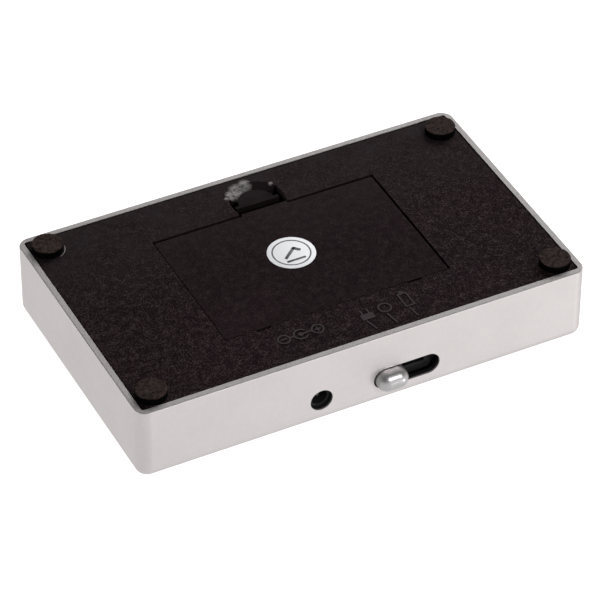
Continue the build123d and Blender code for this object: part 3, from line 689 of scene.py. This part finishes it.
def makeFeet(s):
    texture = bpy.data.textures.new("foamCells", "CLOUDS")
    texture.noise_scale = s["cellSize"]
    texture.noise_depth = 3
    for place in ("front_left", "front_right", "rear_left", "rear_right"):
        low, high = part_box("foot_" + place)
        bpy.ops.object.select_all(action="DESELECT")
        bpy.ops.mesh.primitive_cylinder_add(
            vertices=72, radius=(high.x - low.x) / 2, depth=high.z - low.z, location=(low + high) / 2
        )
        foot = bpy.context.object
        bpy.ops.object.mode_set(mode="EDIT")
        pickFaces(foot, lambda middle, normal: normal.z < -0.9)
        bpy.ops.mesh.bevel(offset=s["edge"], segments=4, affect="EDGES")
        bpy.ops.object.mode_set(mode="OBJECT")
        bpy.ops.object.transform_apply(location=True, rotation=True, scale=True)
        remesh = foot.modifiers.new("even", "REMESH")
        remesh.mode = "VOXEL"
        remesh.voxel_size = s["voxel"]
        crumple = foot.modifiers.new("crumple", "DISPLACE")
        crumple.texture = texture
        crumple.texture_coords = "LOCAL"
        crumple.mid_level = 0.85
        crumple.strength = s["crumple"]
        applyModifiers(foot)
        settle(foot, "foamFoot_" + place, "foot_" + place, ["foamRubber"], ["foot_" + place], smooth=80)


makeFeet(footShape)
print("feet ready")

glueBead = {"radius": 0.13 * mm, "reach": 5.3 * mm, "from": 5, "to": 66}  # from and to in degrees


def makeGlue(s):
    # a thread of dried glue that squeezed out beside one foot
    low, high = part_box("foot_front_left")
    middle = (low + high) / 2
    bpy.ops.object.select_all(action="DESELECT")
    bpy.ops.mesh.primitive_torus_add(
        major_radius=s["reach"],
        minor_radius=s["radius"],
        major_segments=120,
        minor_segments=10,
        location=(middle.x, middle.y, high.z),
    )
    bead = bpy.context.object
    bpy.ops.object.mode_set(mode="EDIT")

    def outside(m, n):
        angle = math.degrees(math.atan2(m.y, m.x))
        return not s["from"] < angle < s["to"]

    pickFaces(bead, outside)
    bpy.ops.mesh.delete(type="FACE")
    bpy.ops.mesh.select_mode(type="EDGE")
    bpy.ops.mesh.select_all(action="SELECT")
    bpy.ops.mesh.fill_holes(sides=0)
    bpy.ops.mesh.select_all(action="SELECT")
    bpy.ops.mesh.normals_make_consistent(inside=False)
    bpy.ops.object.mode_set(mode="OBJECT")
    settle(bead, "glueBead", "foot_front_left", ["driedGlue"], smooth=80)


makeGlue(glueBead)

labelShape = {
    "edge": 0.03 * mm,
    "ring": 6.15 * mm,
    "stroke": 0.5 * mm,
    "ink": 0.012 * mm,
    "bars": (  # a tick and a rule under it: length, width, x, y from the middle, in mm; turn in degrees
        (2.7, 0.95, 2.15, -0.95, 45),
        (6.1, 0.95, -0.55, 0.05, -40),
        (6.2, 0.75, 0.0, 3.6, 0),
    ),
    "barEase": 0.12,  # of a bar's width
}


def inkBar(length, width, place, turn, s):
    # one stroke of print, turned about its own middle
    bpy.ops.object.select_all(action="DESELECT")
    bpy.ops.mesh.primitive_cube_add(
        size=1, location=place, rotation=(0, 0, math.radians(turn)), scale=(length, width, 2 * s["ink"])
    )
    bar = bpy.context.object
    bpy.ops.object.mode_set(mode="EDIT")
    bpy.ops.mesh.select_all(action="SELECT")
    bpy.ops.mesh.bevel(offset=s["barEase"] * width, segments=2, affect="EDGES")
    bpy.ops.object.mode_set(mode="OBJECT")
    return bar


def makeLabel(s):
    low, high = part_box("inspection_sticker")
    middle = (low + high) / 2
    radius = (high.x - low.x) / 2
    bpy.ops.object.select_all(action="DESELECT")
    bpy.ops.mesh.primitive_cylinder_add(vertices=128, radius=radius, depth=high.z - low.z, location=middle)
    label = bpy.context.object
    bpy.ops.object.mode_set(mode="EDIT")
    pickFaces(label, lambda m, n: n.z < -0.9)
    bpy.ops.mesh.bevel(offset=s["edge"], segments=3, affect="EDGES")
    bpy.ops.object.mode_set(mode="OBJECT")
    settle(label, "labelPaper", "inspection_sticker", ["labelPaper"], ["inspection_sticker"])

    bpy.ops.object.select_all(action="DESELECT")
    bpy.ops.mesh.primitive_circle_add(
        vertices=128, radius=s["ring"], fill_type="NGON", location=(middle.x, middle.y, low.z + s["ink"])
    )
    ring = bpy.context.object
    bpy.ops.object.mode_set(mode="EDIT")
    bpy.ops.mesh.select_all(action="SELECT")
    bpy.ops.mesh.inset(thickness=s["stroke"])
    bpy.ops.mesh.delete(type="FACE")
    bpy.ops.mesh.select_all(action="SELECT")
    bpy.ops.mesh.extrude_region_move(TRANSFORM_OT_translate={"value": (0, 0, -2 * s["ink"])})
    bpy.ops.mesh.select_all(action="SELECT")
    bpy.ops.mesh.normals_make_consistent(inside=False)
    bpy.ops.object.mode_set(mode="OBJECT")

    strokes = []
    for length, width, x, y, turn in s["bars"]:
        place = (middle.x + x * mm, middle.y + y * mm, low.z)
        strokes.append(inkBar(length * mm, width * mm, place, turn, s))
    joinAll(strokes)
    settle(ring, "labelRing", "inspection_sticker", ["labelInk"])
    settle(strokes[0], "labelTick", "inspection_sticker", ["labelInk"])


makeLabel(labelShape)
print("label ready")

cellShape = {
    "roll": 0.7 * mm,  # of the jacket over the end
    "jacketLip": 0.45 * mm,  # how far in from the roll the jacket reaches
    "crimp": 0.35 * mm,
    "crimpRing": 0.5 * mm,
    "washer": 0.9 * mm,
    "capRise": 0.6,  # of the crimp's depth, as the next one
    "baseRise": 0.9,
    "baseRing": 1.1 * mm,
    "nub": 1.0 * mm,
    "nubRadius": 2.7 * mm,
    "nubEdge": 0.35 * mm,
    "bandShare": 0.27,
}


def makeCell(name, s):
    low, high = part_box(name)
    middle = (low + high) / 2
    length = high.x - low.x
    nub = s["nub"]
    pointsRight = name != "battery_2"  # the middle cell lies the other way round
    radius = (high.z - low.z) / 2
    bpy.ops.object.select_all(action="DESELECT")
    bpy.ops.mesh.primitive_cylinder_add(vertices=72, radius=radius, depth=length - nub)
    cell = bpy.context.object
    half = (length - nub) / 2
    bpy.ops.object.mode_set(mode="EDIT")
    for end in (-1, 1):  # rolled jacket edge, then the crimp inside it
        pickFaces(cell, lambda m, n: n.z * end > 0.9)
        bpy.ops.mesh.bevel(offset=s["roll"], segments=4, affect="EDGES")
        pickFaces(cell, lambda m, n: n.z * end > 0.99)
        bpy.ops.mesh.inset(thickness=s["crimpRing"])
        bpy.ops.transform.translate(value=(0, 0, -end * s["crimp"]))
        bpy.ops.mesh.inset(thickness=s["washer"])
    pickFaces(cell, lambda m, n: n.z > 0.99 and m.xy.length < 1 * mm)
    bpy.ops.transform.translate(value=(0, 0, s["crimp"] * s["capRise"]))
    bpy.ops.mesh.inset(thickness=radius - s["roll"] - (s["crimpRing"] + s["washer"]) - s["nubRadius"])
    nubUp = nub + s["crimp"] * (1 - s["capRise"])
    bpy.ops.mesh.extrude_region_move(TRANSFORM_OT_translate={"value": (0, 0, nubUp)})
    bpy.ops.mesh.bevel(offset=s["nubEdge"], segments=3, affect="EDGES")
    pickFaces(cell, lambda m, n: n.z < -0.99 and m.xy.length < 1 * mm)
    bpy.ops.mesh.inset(thickness=s["baseRing"])
    bpy.ops.transform.translate(value=(0, 0, -s["crimp"] * s["baseRise"]))
    # a loop for the coloured band, cut all round
    bpy.ops.mesh.select_all(action="SELECT")
    bandZ = half - s["bandShare"] * (length - nub)
    bpy.ops.mesh.bisect(plane_co=(0, 0, bandZ), plane_no=(0, 0, 1))
    bpy.ops.object.mode_set(mode="OBJECT")
    cell.rotation_euler = (0, math.radians(90 if pointsRight else -90), 0)
    cell.location = (middle.x - (nub / 2 if pointsRight else -nub / 2), middle.y, middle.z)
    inner = radius - s["roll"] - s["jacketLip"]
    for face in cell.data.polygons:
        spot = face.center
        onEnd = math.hypot(spot.x, spot.y) < inner
        face.material_index = 2 if onEnd else (1 if spot.z > bandZ else 0)
    settle(cell, name.replace("battery", "cell"), name, ["cellJacket", "cellBand", "springSteel"], [name])


for number in (1, 2, 3):
    makeCell(f"battery_{number}", cellShape)
print("cells ready")

mirrorShape = {"bevel": 0.18 * mm, "corner": 2.4 * mm, "holeRadius": 2.6 * mm}
ledShape = {
    "radius": 2.4 * mm,
    "dome": 1.7 * mm,
    "flange": 0.28 * mm,
    "flangeHeight": 0.7 * mm,
    "cupUp": 1.6 * mm,  # over the board
    "cupHeight": 0.9 * mm,
    "cupRadius": 1.0 * mm,
    "cupShift": 0.35 * mm,  # off the middle of the light, as the phosphor is
    "cupEdge": 0.2 * mm,
    "phosphorRadius": 0.75 * mm,
    "phosphorSunk": 0.05 * mm,
    "phosphorUp": 0.12 * mm,
    "phosphorEdge": 0.06 * mm,
    "legRadius": 0.28 * mm,
    "legSpread": 1.27 * mm,
    "legTops": (0.1 * mm, 0.9 * mm),  # over the foot of the cup
    "legEdge": 0.08 * mm,
}
ledLow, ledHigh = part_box("leds")
ledSpots = [(-32, 0), (0, 0), (32, 0), (-16, 14), (16, 14), (-16, -14), (16, -14)]  # mm, from the middle


def makeMirror(s):
    low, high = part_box("mirror_plate")
    bpy.ops.object.select_all(action="DESELECT")
    bpy.ops.mesh.primitive_cube_add(size=1, location=(low + high) / 2, scale=high - low)
    mirror = bpy.context.object
    bpy.ops.object.transform_apply(location=True, rotation=True, scale=True)
    bpy.ops.object.mode_set(mode="EDIT")
    bpy.ops.mesh.select_mode(type="EDGE")
    bpy.ops.mesh.select_all(action="DESELECT")
    mesh = bmesh.from_edit_mesh(mirror.data)
    for edge in mesh.edges:
        a, b = edge.verts
        edge.select_set(abs(a.co.z - b.co.z) > 0.5 * (high.z - low.z))
    bmesh.update_edit_mesh(mirror.data)
    bpy.ops.mesh.bevel(offset=s["corner"], segments=8, affect="EDGES")
    bpy.ops.object.mode_set(mode="OBJECT")
    for x, y in ledSpots:
        bpy.ops.object.select_all(action="DESELECT")
        bpy.ops.mesh.primitive_cylinder_add(
            vertices=48,
            radius=s["holeRadius"],
            depth=4 * (high.z - low.z),
            location=(caseMiddle.x + x * mm, caseMiddle.y + y * mm, high.z),
        )
        drill = bpy.context.object
        cut = mirror.modifiers.new("hole", "BOOLEAN")
        cut.operation = "DIFFERENCE"
        cut.solver = "EXACT"
        cut.object = drill
        applyModifiers(mirror)
        bpy.data.objects.remove(drill)
    ease = mirror.modifiers.new("ease", "BEVEL")
    ease.width = s["bevel"]
    ease.segments = 2
    ease.limit_method = "ANGLE"
    ease.angle_limit = math.radians(50)
    applyModifiers(mirror)
    settle(mirror, "mirrorPlate", "mirror_plate", ["mirrorGlass"], ["mirror_plate"], smooth=12)


def makeLights(s):
    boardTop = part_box("led_board")[1].z
    height = ledHigh.z - boardTop
    groups = {"ledLens": [], "ledCup": [], "ledPhosphor": [], "ledLegs": []}

    def cylinder(radius, low, top, x, y, sides, group, roundTop=0.0, roundSteps=4):
        bpy.ops.object.select_all(action="DESELECT")
        bpy.ops.mesh.primitive_cylinder_add(
            vertices=sides, radius=radius, depth=top - low, location=(x, y, (low + top) / 2)
        )
        o = bpy.context.object
        bpy.ops.object.mode_set(mode="EDIT")
        pickFaces(o, lambda m, n: n.z > 0.9)
        if roundTop:
            bpy.ops.mesh.bevel(offset=roundTop, segments=roundSteps, affect="EDGES")
        bpy.ops.object.mode_set(mode="OBJECT")
        groups[group].append(o)
        return o

    for x, y in ledSpots:
        x, y = caseMiddle.x + x * mm, caseMiddle.y + y * mm
        lens = cylinder(s["radius"] + s["flange"], boardTop, boardTop + s["flangeHeight"], x, y, 40, "ledLens")
        bpy.ops.object.mode_set(mode="EDIT")
        pickFaces(lens, lambda m, n: n.z > 0.9)
        bpy.ops.mesh.inset(thickness=s["flange"])
        bpy.ops.mesh.extrude_region_move(TRANSFORM_OT_translate={"value": (0, 0, height - s["flangeHeight"])})
        bpy.ops.mesh.bevel(offset=s["dome"], segments=8, affect="EDGES")
        bpy.ops.object.mode_set(mode="OBJECT")
        cupLow = boardTop + s["cupUp"]
        cupTop = cupLow + s["cupHeight"]
        cupX = x - s["cupShift"]
        cylinder(s["cupRadius"], cupLow, cupTop, cupX, y, 24, "ledCup", s["cupEdge"])
        sunk, proud = cupTop - s["phosphorSunk"], cupTop + s["phosphorUp"]
        cylinder(s["phosphorRadius"], sunk, proud, cupX, y, 20, "ledPhosphor", s["phosphorEdge"])
        for side, up in zip((-1, 1), s["legTops"]):
            legX = x + side * s["legSpread"]
            cylinder(s["legRadius"], ledLow.z, cupLow + up, legX, y, 12, "ledLegs", s["legEdge"], 2)
    wear = {"ledLens": "clearEpoxy", "ledCup": "tin", "ledPhosphor": "phosphor", "ledLegs": "tin"}
    for name, members in groups.items():
        joinAll(members)
        settle(members[0], name, "leds", [wear[name]], ["leds"] if name == "ledLens" else ())


makeMirror(mirrorShape)
makeLights(ledShape)
print("mirror and lights ready")

stageSet = {"size": 6.0, "glow": 1.0, "matt": 0.35, "gap": 0.2 * mm}


def makeFloor(name, z, up, s):
    bpy.ops.object.select_all(action="DESELECT")
    bpy.ops.mesh.primitive_plane_add(size=s["size"], location=(0, 0, z))
    floor = bpy.context.object
    floor.name = name
    if not up:
        bpy.ops.object.mode_set(mode="EDIT")
        bpy.ops.mesh.flip_normals()
        bpy.ops.object.mode_set(mode="OBJECT")
    bpy.ops.object.transform_apply(location=True, rotation=True, scale=True)
    material = bpy.data.materials.new(name)
    material.use_nodes = True
    tree = material.node_tree
    tree.nodes.clear()
    out = addNode(tree, "ShaderNodeOutputMaterial", 600, 0)
    glow = addNode(tree, "ShaderNodeEmission", -200, 100, Color=grey(1.0), Strength=s["glow"])
    matt = addNode(tree, "ShaderNodeBsdfDiffuse", -200, -50, Color=grey(s["matt"]))
    both = addNode(tree, "ShaderNodeAddShader", 0, 50)
    clear = addNode(tree, "ShaderNodeBsdfTransparent", 0, -150)
    geometry = addNode(tree, "ShaderNodeNewGeometry", -200, 300)
    pick = addNode(tree, "ShaderNodeMixShader", 300, 0)
    link(tree, glow.outputs[0], both.inputs[0])
    link(tree, matt.outputs[0], both.inputs[1])
    link(tree, geometry.outputs["Backfacing"], pick.inputs["Fac"])
    link(tree, both.outputs[0], pick.inputs[1])
    link(tree, clear.outputs[0], pick.inputs[2])
    link(tree, pick.outputs[0], out.inputs["Surface"])
    floor.data.materials.append(material)
    floor.visible_shadow = False
    floor.visible_diffuse = False
    floor.visible_glossy = False
    floor.visible_transmission = False


makeFloor("floor", cadLow.z - stageSet["gap"], True, stageSet)
makeFloor("floorUpturned", cadHigh.z + stageSet["gap"], False, stageSet)  # what the base lies on, turned over

sky = {
    "table": 0.87,  # towards +Z: the white table, as the base lies on its top
    "room": 0.12,  # towards -Z, on the side of the rear wall
    "back": 0.12,  # towards -Z, on the side of the front wall
}


def makeWorld(s):
    world = bpy.data.worlds.new("studio")
    bpy.context.scene.world = world
    world.use_nodes = True
    tree = world.node_tree
    tree.nodes.clear()
    out = addNode(tree, "ShaderNodeOutputWorld", 600, 0)
    back = addNode(tree, "ShaderNodeBackground", 300, 0)
    coords = addNode(tree, "ShaderNodeTexCoord", -900, 0)
    split = addNode(tree, "ShaderNodeSeparateXYZ", -600, 0)
    link(tree, coords.outputs["Generated"], split.inputs[0])
    room = mapRange(tree, split.outputs["Y"], -0.5, 0.3, s["back"], s["room"], -300, -100)
    table = mapRange(tree, split.outputs["Z"], -0.30, -0.04, 0.0, 1.0, -300, 200)
    link(tree, mixValue(tree, table, room, s["table"], 0, 0), back.inputs["Color"])
    link(tree, back.outputs[0], out.inputs["Surface"])


makeWorld(sky)

lightSet = [  # name, direction it stands in, distance, size, power
    ("keyRear", (0.22, 0.78, -0.57), 1.3, (0.18, 0.22), 7.5),
    ("keyBack", (0.55, -0.55, -0.63), 1.4, (0.9, 0.9), 20.0),
    ("sideLeft", (-0.85, -0.30, -0.20), 1.3, (0.6, 0.5), 4.0),
    ("lowRight", (0.59, 0.74, 0.30), 1.3, (0.3, 0.25), 2.6),
    ("stripRight", (0.90, -0.30, -0.32), 1.2, (0.30, 0.5), 4.0),
]


def makeLamp(name, way, distance, size, power):
    data = bpy.data.lights.new(name, "AREA")
    data.shape = "RECTANGLE"
    data.size, data.size_y = size
    data.energy = power
    lamp = bpy.data.objects.new(name, data)
    bpy.context.scene.collection.objects.link(lamp)
    stand = Vector(way).normalized()
    lamp.location = caseMiddle + stand * distance
    lamp.rotation_mode = "QUATERNION"
    lamp.rotation_quaternion = (-stand).to_track_quat("-Z", "Y")


for lamp in lightSet:
    makeLamp(*lamp)
print("stage ready")
